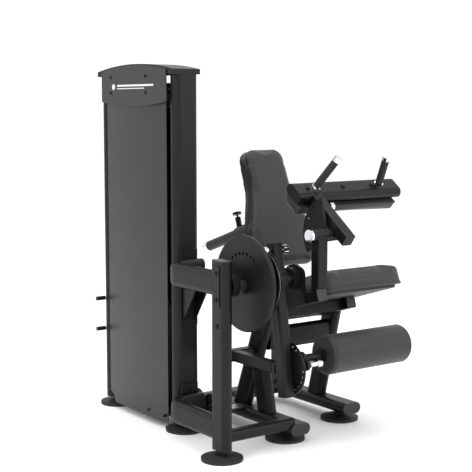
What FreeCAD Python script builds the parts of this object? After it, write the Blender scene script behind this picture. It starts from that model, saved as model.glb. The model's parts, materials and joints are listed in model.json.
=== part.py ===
"""Seated leg curl and leg extension machine with a side weight tower.

Millimetres. +X is the user's forward, +Y the user's left, +Z up. Everything is laid out from
the floor point under the tower's front column; the last section moves the whole machine so
that its origin is the centre of the bottom of its bounding box.
"""
import FreeCAD, Part
import math
import os

V = FreeCAD.Vector

# ---- driving dimensions ----------------------------------------------------------------
WALL = 3.0                      # tube wall
FOOT_R = 85.0                   # levelling foot disc
FRAME_Z = 40.0                  # underside of posts and rails
OVAL_WIDE = 100.0               # flat-oval frame tube, wide side
OVAL_DEEP = 50.0                # flat-oval frame tube, narrow side

COLUMN_X = (0.0, -574.0)        # front and rear tower columns
COLUMN_WIDE = 120.0
COLUMN_DEEP = 60.0
COLUMN_TOP = 1540.0
TOP_BEAM_Z = (1358.0, 1398.0)
BASE_BEAM_Z = (45.0, 95.0)
PANEL_X = (-541.0, -39.0)

STACK_X = -287.0                # centre of the weight stack
ROD_PITCH = 130.0               # guide rod to stack centre
ROD_R = 12.5
STACK_Z = 135.0                 # underside of the lowest plate
PLATE_PITCH = 25.0
PLATE_T = 24.6
PLATE_COUNT = 14
LIFTED_COUNT = 5
HEAD_T = 30.0

KNEE_X = 441.0                  # knee axis, parallel to Y
KNEE_Z = 702.0
SHAFT_R = 17.0
FIT = 0.05                      # radial running clearance
DISC_R = 195.0
PIN_R = 122.0                   # radius of the index holes in the disc
CAM_PITCH_R = 130.0
CAM_Y = 75.0                    # plane of the cable between cam and tower base
ARM_LEAN = math.radians(8.2)
ARM_Y = (135.0, 185.0)

CABLE_R = 3.0
PULLEY_PITCH_R = 46.0
PULLEY_RIM_R = 51.0
PULLEY_WIDE = 16.0
AXLE_R = 6.0

SEAT_MID_Y = 570.0
SEAT_TILT = math.radians(17.5)
SEAT_FRONT = (510.0, 728.0)     # upper front edge of the seat cushion, X and Z
SEAT_LONG = 460.0
SEAT_HALF = 228.0
SEAT_T = 85.0
BOARD_T = 12.0
SIDE_TUBE_Y = (262.0, 312.0)
FAR_Y = (640.0, 690.0)

BACK_TILT = math.radians(22.8)
BACK_FOOT = (29.0, 695.0)       # lower front edge of the back cushion, X and Z
BACK_LONG = 564.0
BACK_T = 60.0
RAIL_TILT = math.radians(18.7)
RAIL_END = (-662.0, 697.0)      # rear end of the back adjusting tube, X and Z
BACK_PIN_AT = 310.0             # pull pin from the rear end of the tube

THIGH_X = 553.0                 # thigh pad pivot, parallel to Y
THIGH_Z = 887.0
LEVER_TILT = math.radians(36.4)
LEVER_Y = (350.0, 400.0)
THIGH_PIN_R = 134.0

CRANK_X = 480.0                 # roller crank pivot on the movement arm
CRANK_Z = 340.0
ROLLER_X = 543.0
ROLLER_Z = 386.0
ROLLER_Y = (322.0, 762.0)
ROLLER_R = 84.0

PARTS = {}


# ---- shape helpers ---------------------------------------------------------------------
def rounded_wire(corners, place):
    """Closed wire through corners (u, v, radius); place turns (u, v) into a point."""
    count = len(corners)
    starts = []
    ends = []
    mids = []
    for i, (u, v, r) in enumerate(corners):
        here = V(u, v, 0)
        back = (V(*corners[i - 1][:2], 0) - here).normalize()
        ahead = (V(*corners[(i + 1) % count][:2], 0) - here).normalize()
        half = back.getAngle(ahead) / 2
        reach = r / math.tan(half)
        middle = (back + ahead).normalize()
        starts.append(here + back * reach)
        ends.append(here + ahead * reach)
        mids.append(here + middle * (r / math.sin(half) - r))
    edges = []
    for i in range(count):
        if corners[i][2] > 0:
            arc = [place(p.x, p.y) for p in (starts[i], mids[i], ends[i])]
            edges.append(Part.Arc(*arc).toShape())
        a = place(ends[i].x, ends[i].y)
        b = place(starts[(i + 1) % count].x, starts[(i + 1) % count].y)
        if a.distanceToPoint(b) > 0.001:
            edges.append(Part.LineSegment(a, b).toShape())
    return Part.Wire(edges)


def slab(corners, origin, u_dir, v_dir, t):
    """Plate with a rounded outline, t thick along u_dir x v_dir."""
    wire = rounded_wire(corners, lambda u, v: origin + u_dir * u + v_dir * v)
    return Part.Face(wire).extrude(u_dir.cross(v_dir) * t)


def side_plate(corners, y, t):
    """Plate with an outline in X and Z, from y to y + t."""
    return slab(corners, V(0, y + t, 0), V(1, 0, 0), V(0, 0, 1), t)


def box(x, y, z):
    return Part.makeBox(x[1] - x[0], y[1] - y[0], z[1] - z[0], V(x[0], y[0], z[0]))


def rod(a, b, r):
    return Part.makeCylinder(r, (b - a).Length, a, b - a)


def ring(a, b, outer, inner):
    return rod(a, b, outer).cut(rod(a, b, inner))


def y_rod(x, z, y, r):
    return rod(V(x, y[0], z), V(x, y[1], z), r)


def y_ring(x, z, y, outer, inner):
    return ring(V(x, y[0], z), V(x, y[1], z), outer, inner)


def bar(a, b, wide, deep, across, radius):
    """Filled straight bar of rounded section; across is the direction of its wide side."""
    along = (b - a).normalize()
    u = (across - along * across.dot(along)).normalize()
    v = along.cross(u)
    w = wide / 2
    d = deep / 2
    corners = [(-w, -d, radius), (w, -d, radius), (w, d, radius), (-w, d, radius)]
    wire = rounded_wire(corners, lambda p, q: a + u * p + v * q)
    return Part.Face(wire).extrude(b - a)


def tube(a, b, wide, deep, across, radius):
    """Hollow straight tube of rounded section."""
    core = bar(a, b, wide - 2 * WALL, deep - 2 * WALL, across, max(radius - WALL, 0.5))
    return bar(a, b, wide, deep, across, radius).cut(core)


def closed_tube(a, b, wide, deep, across, radius, plug=4.0):
    """Hollow straight tube with a plate welded in each end."""
    along = (b - a).normalize() * plug
    core = bar(a + along, b - along, wide - 2 * WALL, deep - 2 * WALL, across, max(radius - WALL, 0.5))
    return bar(a, b, wide, deep, across, radius).cut(core)


OVAL_R = OVAL_DEEP / 2 - 0.01   # keeps a sliver of flat between the two round sides
X_DIR = V(1, 0, 0)
Y_DIR = V(0, 1, 0)
Z_DIR = V(0, 0, 1)


def oval(a, b, across):
    return tube(a, b, OVAL_WIDE, OVAL_DEEP, across, OVAL_R)


def oval_bar(a, b, across):
    return bar(a, b, OVAL_WIDE, OVAL_DEEP, across, OVAL_R)


def bolt(at, out, r=9.0, head=6.0):
    return rod(at, at + V(out).normalize() * head, r)


def group(shapes):
    return Part.makeCompound(shapes)


def fused(shapes):
    return shapes[0].multiFuse(shapes[1:]).removeSplitter()


def seat_point(back, up, y):
    """Point in the seat's own frame: back from the front edge and up from the top face."""
    c = math.cos(SEAT_TILT)
    s = math.sin(SEAT_TILT)
    return V(SEAT_FRONT[0] - c * back - s * up, y, SEAT_FRONT[1] - s * back + c * up)


def turned(x, z, radius, degrees):
    """Point in X and Z at an angle counted from +X towards +Z."""
    angle = math.radians(degrees)
    return x + radius * math.cos(angle), z + radius * math.sin(angle)


def sector(x, z, y, radius, start, stop):
    """Round plate sector between two angles, pointed at its centre."""
    middle = (start + stop) / 2
    points = [V(*(p[0], y[0], p[1])) for p in (turned(x, z, radius, a) for a in (start, middle, stop))]
    centre = V(x, y[0], z)
    edges = [Part.LineSegment(centre, points[0]).toShape(), Part.Arc(*points).toShape()]
    edges.append(Part.LineSegment(points[2], centre).toShape())
    return Part.Face(Part.Wire(edges)).extrude(V(0, y[1] - y[0], 0))


# ---- tower -----------------------------------------------------------------------------
def column(x):
    return tube(V(x, 0, FRAME_Z), V(x, 0, COLUMN_TOP), COLUMN_WIDE, COLUMN_DEEP, Y_DIR, 29.99)


def tower_beam(z):
    inner = [COLUMN_X[1] + COLUMN_DEEP / 2, COLUMN_X[0] - COLUMN_DEEP / 2]
    middle = sum(z) / 2
    return tube(V(inner[0], 0, middle), V(inner[1], 0, middle), 60, z[1] - z[0], Y_DIR, 6)


ROD_X = (STACK_X - ROD_PITCH, STACK_X + ROD_PITCH)
TOP_PULLEY_Z = 1455.0
TOP_PULLEY_X = (-109.0, STACK_X + PULLEY_PITCH_R)
LOW_PULLEY_Z = 120.0
LOW_PULLEY_X = (98.0, -17.0)
GUIDE_PULLEY = (190.0, KNEE_Z - CAM_PITCH_R - PULLEY_PITCH_R)

top_beam = tower_beam(TOP_BEAM_Z)
for hole_x in (STACK_X, TOP_PULLEY_X[0] + PULLEY_PITCH_R):
    top_beam = top_beam.cut(rod(V(hole_x, 0, TOP_BEAM_Z[0]), V(hole_x, 0, TOP_BEAM_Z[1]), 15))
PARTS["tower_frame"] = group([column(COLUMN_X[0]), column(COLUMN_X[1]), top_beam, tower_beam(BASE_BEAM_Z)])


def arched_face(x, z_low, z_side, z_mid, y, t):
    """Panel with a level or bowed lower edge and an arched upper edge, t thick from y."""
    low = (z_low[0], z_low[1])
    a = V(x[0], y, low[0])
    b = V(x[1], y, low[0])
    c = V(x[1], y, z_side)
    d = V(x[0], y, z_side)
    middle = (x[0] + x[1]) / 2
    top = Part.Arc(c, V(middle, y, z_mid), d).toShape()
    if low[0] == low[1]:
        foot = Part.LineSegment(a, b).toShape()
    else:
        foot = Part.Arc(a, V(middle, y, low[1]), b).toShape()
    sides = [Part.LineSegment(b, c).toShape(), Part.LineSegment(d, a).toShape()]
    wire = Part.Wire([foot, sides[0], top, sides[1]])
    return Part.Face(wire).extrude(V(0, t, 0))


cap = arched_face((-606, 32), (COLUMN_TOP, COLUMN_TOP), 1562, 1590, -74, 138)
cap_core = arched_face((-602, 28), (COLUMN_TOP, COLUMN_TOP), 1557, 1585, -70, 130)
PARTS["tower_top_cap"] = cap.cut(cap_core)
PARTS["name_plate"] = arched_face((-561, -15), (1426, 1405), 1562, 1586, -79, 5)

# outer cover, bowed outwards, and inner cover with the window for the selector pin
BOW = 9.0
SHEET = 2.5


def bowed_panel(x, z, y, bow, t):
    middle = (x[0] + x[1]) / 2
    outer = Part.Arc(V(x[0], y, z[0]), V(middle, y - bow, z[0]), V(x[1], y, z[0])).toShape()
    inner = Part.Arc(V(x[1], y + t, z[0]), V(middle, y - bow + t, z[0]), V(x[0], y + t, z[0])).toShape()
    ends = [
        Part.LineSegment(V(x[1], y, z[0]), V(x[1], y + t, z[0])).toShape(),
        Part.LineSegment(V(x[0], y + t, z[0]), V(x[0], y, z[0])).toShape(),
    ]
    wire = Part.Wire([outer, ends[0], inner, ends[1]])
    return Part.Face(wire).extrude(V(0, 0, z[1] - z[0]))


cover = bowed_panel(PANEL_X, (30, 1424), -62, BOW, SHEET)
foot_notch = rod(V(PANEL_X[0], -90, 30), V(PANEL_X[0], -50, 30), 45)
PARTS["outer_cover"] = cover.cut(foot_notch)

WINDOW_X = (STACK_X - 45, STACK_X + 45)
WINDOW_Z = (150.0, 900.0)
window = slab(
    [(WINDOW_X[0], WINDOW_Z[0], 20), (WINDOW_X[1], WINDOW_Z[0], 20),
     (WINDOW_X[1], WINDOW_Z[1], 20), (WINDOW_X[0], WINDOW_Z[1], 20)],
    V(0, 80, 0), X_DIR, Z_DIR, 30)
PARTS["inner_cover"] = box((PANEL_X[0], -90), (62, 62 + SHEET), (100, 1425)).cut(window)

PARTS["accessory_pegs"] = group([rod(V(-592, -60, z), V(-592, -104, z), 10) for z in (510, 366)])
PARTS["accessory_pegs"] = PARTS["accessory_pegs"].cut(bar(
    V(COLUMN_X[1], 0, 300), V(COLUMN_X[1], 0, 600), COLUMN_WIDE, COLUMN_DEEP, Y_DIR, 29.99))

# ---- weight stack ----------------------------------------------------------------------
PARTS["guide_rods"] = group([rod(V(x, 0, BASE_BEAM_Z[1]), V(x, 0, TOP_BEAM_Z[0]), ROD_R) for x in ROD_X])
PARTS["stack_cushions"] = group([
    ring(V(x, 0, BASE_BEAM_Z[1]), V(x, 0, STACK_Z), 30, ROD_R + 0.5) for x in ROD_X])

STEM_R = 11.0
SELECTOR_R = 5.0
LIFTED_FROM = PLATE_COUNT - LIFTED_COUNT


def plate_middle(index):
    return STACK_Z + PLATE_PITCH * index + PLATE_T / 2


def weight_plate(index):
    z = (STACK_Z + PLATE_PITCH * index, STACK_Z + PLATE_PITCH * index + PLATE_T)
    corners = [(-190, -52, 12), (190, -52, 12), (190, 52, 12), (-190, 52, 12)]
    plate = slab(corners, V(STACK_X, 0, z[0]), X_DIR, Y_DIR, PLATE_T)
    holes = [rod(V(x, 0, z[0]), V(x, 0, z[1]), ROD_R + 0.8) for x in ROD_X]
    holes.append(rod(V(STACK_X, 0, z[0]), V(STACK_X, 0, z[1]), STEM_R + 1.5))
    middle = plate_middle(index)
    holes.append(rod(V(STACK_X, 0, middle), V(STACK_X, 60, middle), SELECTOR_R + 0.5))
    return plate.cut(holes)


PARTS["weight_plates_lower"] = group([weight_plate(i) for i in range(LIFTED_FROM)])
PARTS["weight_plates_upper"] = group([weight_plate(i) for i in range(LIFTED_FROM, PLATE_COUNT)])

HEAD_Z = STACK_Z + PLATE_PITCH * PLATE_COUNT
BUSH_R = 18.0
head = slab([(-190, -52, 12), (190, -52, 12), (190, 52, 12), (-190, 52, 12)],
            V(STACK_X, 0, HEAD_Z), X_DIR, Y_DIR, HEAD_T)
collars = [rod(V(x, 0, HEAD_Z + HEAD_T), V(x, 0, HEAD_Z + 60), BUSH_R) for x in ROD_X]
head = fused([head] + collars)
bores = [rod(V(x, 0, HEAD_Z), V(x, 0, HEAD_Z + 60), ROD_R + FIT) for x in ROD_X]
bores.append(rod(V(STACK_X, 0, HEAD_Z), V(STACK_X, 0, HEAD_Z + HEAD_T), STEM_R))
PARTS["head_plate"] = head.cut(bores)

STEM_TOP = HEAD_Z + HEAD_T + 40
stem = fused([
    rod(V(STACK_X, 0, STACK_Z + 5), V(STACK_X, 0, STEM_TOP), STEM_R),
    rod(V(STACK_X, 0, HEAD_Z + HEAD_T), V(STACK_X, 0, HEAD_Z + HEAD_T + 14), 17)])
for i in range(PLATE_COUNT):
    z = plate_middle(i)
    stem = stem.cut(rod(V(STACK_X, -20, z), V(STACK_X, 20, z), SELECTOR_R + 0.5))
PARTS["selector_stem"] = stem

pin_z = plate_middle(LIFTED_FROM)
PARTS["selector_pin"] = fused([
    rod(V(STACK_X, -STEM_R, pin_z), V(STACK_X, 72, pin_z), SELECTOR_R),
    rod(V(STACK_X, 68, pin_z), V(STACK_X, 96, pin_z), 14)])

# ---- cable and pulleys -----------------------------------------------------------------
def pulley(x, y, z, wide=PULLEY_WIDE):
    half = wide / 2
    wheel = y_rod(x, z, (y - half, y + half), PULLEY_RIM_R)
    throat = y_ring(x, z, (y - 4.7, y + 4.7), PULLEY_RIM_R + 1, PULLEY_PITCH_R)
    groove = Part.makeTorus(PULLEY_PITCH_R, 3.5, V(x, y, z), Y_DIR)
    wheel = wheel.cut([throat, groove, y_rod(x, z, (y - half, y + half), AXLE_R + FIT)])
    for k in range(5):
        hx, hz = turned(x, z, 27, 72 * k)
        wheel = wheel.cut(y_rod(hx, hz, (y - half, y + half), 8))
    return wheel


PULLEYS = {
    "guide_pulley": (GUIDE_PULLEY[0], CAM_Y, GUIDE_PULLEY[1]),
    "floor_pulley": (LOW_PULLEY_X[0], CAM_Y, LOW_PULLEY_Z),
    "tower_base_pulley": (LOW_PULLEY_X[1], CAM_Y, LOW_PULLEY_Z),
    "tower_top_pulley": (TOP_PULLEY_X[0], 0.0, TOP_PULLEY_Z),
    "stack_pulley": (TOP_PULLEY_X[1], 0.0, TOP_PULLEY_Z),
}
for name, (x, y, z) in PULLEYS.items():
    PARTS[name] = pulley(x, y, z)


def turned_cable(x, y, z, radius, start, stop):
    """Piece of cable bent round an axis parallel to Y, from start to stop degrees."""
    sx, sz = turned(x, z, radius, start)
    direction = V(-math.sin(math.radians(start)), 0, math.cos(math.radians(start)))
    circle = Part.Wire(Part.makeCircle(CABLE_R, V(sx, y, sz), direction))
    return Part.Face(circle).revolve(V(x, y, z), V(0, -1, 0), stop - start)


def straight_cable(a, b, gap=0.0):
    along = (b - a).normalize() * gap
    return rod(a + along, b - along, CABLE_R)


guide_x, guide_z = GUIDE_PULLEY
run_x = guide_x - PULLEY_PITCH_R
rise_x = LOW_PULLEY_X[1] - PULLEY_PITCH_R
low_z = LOW_PULLEY_Z - PULLEY_PITCH_R
high_z = TOP_PULLEY_Z + PULLEY_PITCH_R
PARTS["cable_run"] = group([
    straight_cable(V(KNEE_X, CAM_Y, KNEE_Z - CAM_PITCH_R), V(guide_x, CAM_Y, KNEE_Z - CAM_PITCH_R)),
    turned_cable(guide_x, CAM_Y, guide_z, PULLEY_PITCH_R, 90, 180),
    straight_cable(V(run_x, CAM_Y, guide_z), V(run_x, CAM_Y, LOW_PULLEY_Z)),
    turned_cable(LOW_PULLEY_X[0], CAM_Y, LOW_PULLEY_Z, PULLEY_PITCH_R, -90, 0),
    straight_cable(V(LOW_PULLEY_X[0], CAM_Y, low_z), V(LOW_PULLEY_X[1], CAM_Y, low_z)),
    turned_cable(LOW_PULLEY_X[1], CAM_Y, LOW_PULLEY_Z, PULLEY_PITCH_R, 180, 270),
    straight_cable(V(rise_x, CAM_Y, LOW_PULLEY_Z), V(rise_x, 0, TOP_PULLEY_Z), 0.4),
    turned_cable(TOP_PULLEY_X[0], 0, TOP_PULLEY_Z, PULLEY_PITCH_R, 0, 90),
    straight_cable(V(TOP_PULLEY_X[0], 0, high_z), V(TOP_PULLEY_X[1], 0, high_z)),
    turned_cable(TOP_PULLEY_X[1], 0, TOP_PULLEY_Z, PULLEY_PITCH_R, 90, 180),
])
LIFT_SPAN_TOP = TOP_PULLEY_Z
PARTS["cable_lift_span"] = straight_cable(V(STACK_X, 0, STEM_TOP), V(STACK_X, 0, LIFT_SPAN_TOP))
PARTS["cam_cable"] = turned_cable(KNEE_X, CAM_Y, KNEE_Z, CAM_PITCH_R, -90, 58)

# ---- base frame ------------------------------------------------------------------------
FEET = [(-574, 0), (0, 0), (441, -114), (361, 270), (258, 665)]


def foot(x, y):
    disc = rod(V(x, y, 0), V(x, y, 12), FOOT_R)
    dome = Part.makeCone(FOOT_R, 34, 10, V(x, y, 12), Z_DIR)
    stem = rod(V(x, y, 22), V(x, y, FRAME_Z), 20)
    return fused([disc, dome, stem])


PARTS["floor_feet"] = group([foot(x, y) for x, y in FEET])

RAIL_Z = FRAME_Z + OVAL_DEEP / 2
CROSS_X = -175.0
NEAR_RAIL_END = 464.0
FAR_RAIL_END = 340.0
NEAR_RAIL = oval_bar(V(CROSS_X + 50, 270, RAIL_Z), V(NEAR_RAIL_END, 270, RAIL_Z), Y_DIR)
FAR_RAIL = oval_bar(V(CROSS_X + 50, 665, RAIL_Z), V(FAR_RAIL_END, 665, RAIL_Z), Y_DIR)
CROSS_BAR = oval_bar(V(CROSS_X, 30, RAIL_Z), V(CROSS_X, 715, RAIL_Z), X_DIR)
near_rail = oval(V(CROSS_X + 25, 270, RAIL_Z), V(NEAR_RAIL_END, 270, RAIL_Z), Y_DIR).cut(CROSS_BAR)
far_rail = oval(V(CROSS_X + 25, 665, RAIL_Z), V(FAR_RAIL_END, 665, RAIL_Z), Y_DIR).cut(CROSS_BAR)
PARTS["base_rails"] = group([near_rail, far_rail])

# bent tubes from the front column round to the outer post
POST_X = KNEE_X
POST_Y = -114.0
POST_TOP = 801.0
POST_BAR = oval_bar(V(POST_X, POST_Y, FRAME_Z), V(POST_X, POST_Y, POST_TOP), X_DIR)
PARTS["outer_post"] = oval(V(POST_X, POST_Y, FRAME_Z), V(POST_X, POST_Y, POST_TOP), X_DIR)

FLANGE_X = (30.0, 38.0)
BEND_R = 70.0
LEG_X = FLANGE_X[1] + OVAL_DEEP / 2
CONNECTOR_Z = (125.0, 710.0)


def connector(z):
    """Flat-oval tube standing on edge: along -Y past the column, then along +X to the post."""
    def part(wide, deep, radius):
        first = bar(V(LEG_X, 45, z), V(LEG_X, POST_Y + BEND_R, z), wide, deep, Z_DIR, radius)
        last = bar(V(LEG_X + BEND_R, POST_Y, z), V(POST_X - 30, POST_Y, z), wide, deep, Z_DIR, radius)
        w = wide / 2
        d = deep / 2
        corners = [(-d, -w, radius), (d, -w, radius), (d, w, radius), (-d, w, radius)]
        start = V(LEG_X, POST_Y + BEND_R, z)
        face = Part.Face(rounded_wire(corners, lambda p, q: start + X_DIR * p + Z_DIR * q))
        elbow = face.revolve(V(LEG_X + BEND_R, POST_Y + BEND_R, z), Z_DIR, 90)
        return fused([first, elbow, last])
    outer = part(OVAL_WIDE, OVAL_DEEP, OVAL_R)
    inner = part(OVAL_WIDE - 2 * WALL, OVAL_DEEP - 2 * WALL, OVAL_R - WALL)
    return outer.cut(inner).cut(POST_BAR)


PARTS["connecting_tubes"] = group([connector(z) for z in CONNECTOR_Z])

upper_flange = box(FLANGE_X, (-42, 42), (470, 798))
lower_flange = box(FLANGE_X, (-42, 42), (60, 215))
gusset_corners = [(FLANGE_X[1], 659, 0), (150, 659, 0), (FLANGE_X[1], 490, 0)]
gussets = [side_plate(gusset_corners, y, 8) for y in (-34, 26)]
PARTS["column_flanges"] = group([upper_flange, lower_flange] + gussets)

LINK_X = 436.0
LINK_Z = 90.0
link = tube(V(LINK_X, POST_Y, LINK_Z), V(LINK_X, 245, LINK_Z), 50, 50, X_DIR, 16).cut([POST_BAR, NEAR_RAIL])
link = max(link.Solids, key=lambda s: s.Volume)

# slanted uprights on the rails, leaning forward
NEAR_UP = (V(47, 280, 90), V(213, 280, 520))
FAR_UP = (V(99, 665, 90), V(205, 665, 508))


def leaning_tube(foot_point, head_point, y_mid):
    along = (head_point - foot_point).normalize()
    shape = oval(foot_point - along * 40, head_point + along * 60, X_DIR)
    low = box((-400, 800), (y_mid - 80, y_mid + 80), (-100, 90))
    return shape.cut(low)


def under_seat(y_mid, down):
    """Block above the plane that lies down below the seat's top face."""
    a = seat_point(-200, -down, y_mid - 80)
    along = seat_point(900, -down, 0) - seat_point(0, -down, 0)
    up = seat_point(0, 400, 0) - seat_point(0, 0, 0)
    face = Part.Face(Part.Wire(Part.makePolygon([a, a + along, a + along + up, a + up, a])))
    return face.extrude(V(0, 160, 0))


NEAR_DROP = 122.0               # underside of the near side tube below the seat top
FAR_DROP = 147.0
near_upright = leaning_tube(NEAR_UP[0], NEAR_UP[1], 280).cut(under_seat(280, NEAR_DROP))
far_upright = leaning_tube(FAR_UP[0], FAR_UP[1], 665).cut(under_seat(665, FAR_DROP))
NEAR_UP_BAR = oval_bar(NEAR_UP[0] * 1.1 - NEAR_UP[1] * 0.1, NEAR_UP[1] * 1.1 - NEAR_UP[0] * 0.1, X_DIR)
brace = leaning_tube(V(222, 280, 90), V(196, 280, 210), 280)
brace = brace.cut(box((-200, 500), (200, 360), (300, 700))).cut(NEAR_UP_BAR)
brace = max(brace.Solids, key=lambda s: s.Volume)
PARTS["seat_uprights"] = group([near_upright, far_upright, brace])

MID_TUBE = (190.0, 400.0)
far_up_bar = oval_bar(FAR_UP[0], FAR_UP[1], X_DIR)
mid_tube = tube(V(MID_TUBE[0], 250, MID_TUBE[1]), V(MID_TUBE[0], 700, MID_TUBE[1]), OVAL_WIDE, OVAL_DEEP,
                Z_DIR, OVAL_R)
mid_tube = mid_tube.cut([NEAR_UP_BAR, far_up_bar, box((0, 400), (200, 305), (300, 500)),
                         box((0, 400), (640, 760), (300, 500))])

STOP_Z = 338.0
STOP_Y = sum(ARM_Y) / 2
stop_arm = tube(V(141, 255, STOP_Z), V(141, STOP_Y - 25, STOP_Z), 50, 50, X_DIR, 8)
stop_arm = stop_arm.cut(NEAR_UP_BAR)
stop_bar = tube(V(166, STOP_Y, STOP_Z), V(432, STOP_Y, STOP_Z), 46, 46, Y_DIR, 8)
PARTS["cross_tubes"] = group([
    oval(V(CROSS_X, 30, RAIL_Z), V(CROSS_X, 715, RAIL_Z), X_DIR), link, mid_tube, stop_arm, stop_bar])
PARTS["arm_stop_bumper"] = box((432, 455), (STOP_Y - 21, STOP_Y + 21), (STOP_Z - 21, STOP_Z + 21))

# ---- seat ------------------------------------------------------------------------------
def seat_box(back, up, y):
    """Block given in the seat's own frame."""
    a = seat_point(back[0], up[0], y[0])
    b = seat_point(back[1], up[0], y[0])
    c = seat_point(back[1], up[1], y[0])
    d = seat_point(back[0], up[1], y[0])
    face = Part.Face(Part.Wire(Part.makePolygon([a, b, c, d, a])))
    return face.extrude(V(0, y[1] - y[0], 0))


def seat_tube(back, up, y):
    middle = sum(up) / 2
    y_mid = sum(y) / 2
    return tube(seat_point(back[0], middle, y_mid), seat_point(back[1], middle, y_mid),
                y[1] - y[0], up[1] - up[0], Y_DIR, 6)


NEAR_SIDE_FROM = -36.0
FAR_SIDE_FROM = 230.0
near_side = seat_tube((NEAR_SIDE_FROM, 430), (-NEAR_DROP, -NEAR_DROP + 50), SIDE_TUBE_Y)
far_side = seat_tube((FAR_SIDE_FROM, 440), (-FAR_DROP, -FAR_DROP + 50), FAR_Y)
ties = [seat_box((b, b + 50), (-FAR_DROP, -FAR_DROP + 47), (SIDE_TUBE_Y[1], FAR_Y[0])) for b in (262, 370)]
PARTS["seat_frame"] = group([near_side, far_side] + ties)


def seat_slab(back, half, up, t, radius):
    corners = [(back[0], -half[0], radius), (back[1], -half[1], radius),
               (back[1], half[1], radius), (back[0], half[0], radius)]
    u = (seat_point(1, 0, 0) - seat_point(0, 0, 0)).normalize()
    return slab(corners, seat_point(0, up, SEAT_MID_Y), u, V(0, -1, 0), t)


PARTS["seat_board"] = seat_slab((22, SEAT_LONG - 22), (SEAT_HALF - 22, 180), -SEAT_T - BOARD_T, BOARD_T - 0.2, 40)
PARTS["seat_cushion"] = seat_slab((0, SEAT_LONG), (SEAT_HALF, 205), -SEAT_T, SEAT_T, 45)

# ---- backrest --------------------------------------------------------------------------
def back_point(across, up, out):
    """Point in the back cushion's frame: across from the middle, up its face, out of its face."""
    c = math.cos(BACK_TILT)
    s = math.sin(BACK_TILT)
    return V(BACK_FOOT[0] - s * up + c * out, SEAT_MID_Y + across, BACK_FOOT[1] + c * up + s * out)


def back_slab(inset, out, t):
    """Cushion outline: wide and square below, drawn in towards a narrow round head."""
    side = [(185, 0, 60), (186, 170, 150), (126, 350, 260), (112, BACK_LONG, 62)]
    right = []
    for across, up, radius in side:
        lift = inset if up == 0 else 0
        drop = inset if up == BACK_LONG else 0
        right.append((across - inset, up + lift - drop, radius))
    left = [(-across, up, radius) for across, up, radius in reversed(right)]
    u = V(0, 1, 0)
    v = (back_point(0, 1, 0) - back_point(0, 0, 0)).normalize()
    return slab(right + left, back_point(0, 0, out), u, v, t)


PARTS["back_cushion"] = back_slab(0, -BACK_T, BACK_T)
RAIL_DIR = V(math.cos(RAIL_TILT), 0, math.sin(RAIL_TILT))
RAIL_UP = V(-math.sin(RAIL_TILT), 0, math.cos(RAIL_TILT))
RAIL_R = 25.0
rail_foot = V(RAIL_END[0], SEAT_MID_Y, RAIL_END[1])
back_plane = back_point(0, 0, -BACK_T - BOARD_T - 8)
normal = back_point(0, 0, 1) - back_point(0, 0, 0)
rail_long = (back_plane - rail_foot).dot(normal) / RAIL_DIR.dot(normal)
rail_head = rail_foot + RAIL_DIR * rail_long
board = back_slab(18, -BACK_T - BOARD_T, BOARD_T)
flange_up = (rail_head - back_point(0, 0, -BACK_T - BOARD_T - 8)).dot(back_point(0, 1, 0) - back_point(0, 0, 0))
flange_corners = [(-55, flange_up - 70, 12), (55, flange_up - 70, 12), (55, flange_up + 70, 12), (-55, flange_up + 70, 12)]
flange = slab(flange_corners, back_point(0, 0, -BACK_T - BOARD_T - 8), V(0, 1, 0),
              (back_point(0, 1, 0) - back_point(0, 0, 0)).normalize(), 8)
PARTS["back_board"] = group([board, flange])

back_tube = rod(rail_foot, rail_head + RAIL_DIR * 20, RAIL_R)
back_tube = back_tube.cut(rod(rail_foot + RAIL_DIR * 4, rail_head + RAIL_DIR * 20, RAIL_R - WALL))
beyond = slab([(-300, -100, 0), (300, -100, 0), (300, BACK_LONG, 0), (-300, BACK_LONG, 0)],
              back_point(0, 0, -BACK_T - BOARD_T - 8), V(0, 1, 0),
              (back_point(0, 1, 0) - back_point(0, 0, 0)).normalize(), 60)
back_tube = back_tube.cut(beyond)
for step in range(6):
    hole = rail_foot + RAIL_DIR * (BACK_PIN_AT - 45 * step)
    back_tube = back_tube.cut(rod(hole, hole + RAIL_UP * 40, 6))
PARTS["back_tube"] = back_tube

SLEEVE_R = 32.0
sleeve_rear = rail_foot + RAIL_DIR * 292
sleeve_front = rail_foot + RAIL_DIR * 530
sleeve = ring(sleeve_rear, sleeve_front, SLEEVE_R, RAIL_R + FIT)
pin_foot = rail_foot + RAIL_DIR * BACK_PIN_AT
boss = ring(pin_foot + RAIL_UP * 24, pin_foot + RAIL_UP * 78, 14, 5 + FIT)
boss = boss.cut(rod(sleeve_rear, sleeve_front, SLEEVE_R))
sleeve = sleeve.cut(rod(pin_foot, pin_foot + RAIL_UP * 60, 5 + FIT))
SUPPORT_X = -195.0
support_z = rail_foot.z + (SUPPORT_X - rail_foot.x) * math.tan(RAIL_TILT)
upright = tube(V(SUPPORT_X, 665, FRAME_Z + OVAL_DEEP), V(SUPPORT_X, 665, support_z + 25), 50, 50, X_DIR, 8)
reach = tube(V(SUPPORT_X, 640, support_z), V(SUPPORT_X, SEAT_MID_Y, support_z), 50, 50, X_DIR, 8)
reach = reach.cut(rod(sleeve_rear, sleeve_front, SLEEVE_R))
reach = max(reach.Solids, key=lambda s: s.CenterOfMass.y)
PARTS["back_support"] = group([upright, reach, sleeve, boss])

knob_at = pin_foot + RAIL_UP * 96
PARTS["back_pin"] = fused([
    rod(pin_foot + RAIL_UP * (RAIL_R + 0.6), pin_foot + RAIL_UP * 96, 5),
    rod(knob_at - RAIL_UP * 5, knob_at + RAIL_UP * 7, 22)])

# ---- knee shaft, disc, cam -------------------------------------------------------------
SHAFT_Y = (-86.0, 256.0)
PARTS["knee_shaft"] = y_rod(KNEE_X, KNEE_Z, SHAFT_Y, SHAFT_R)

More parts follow.
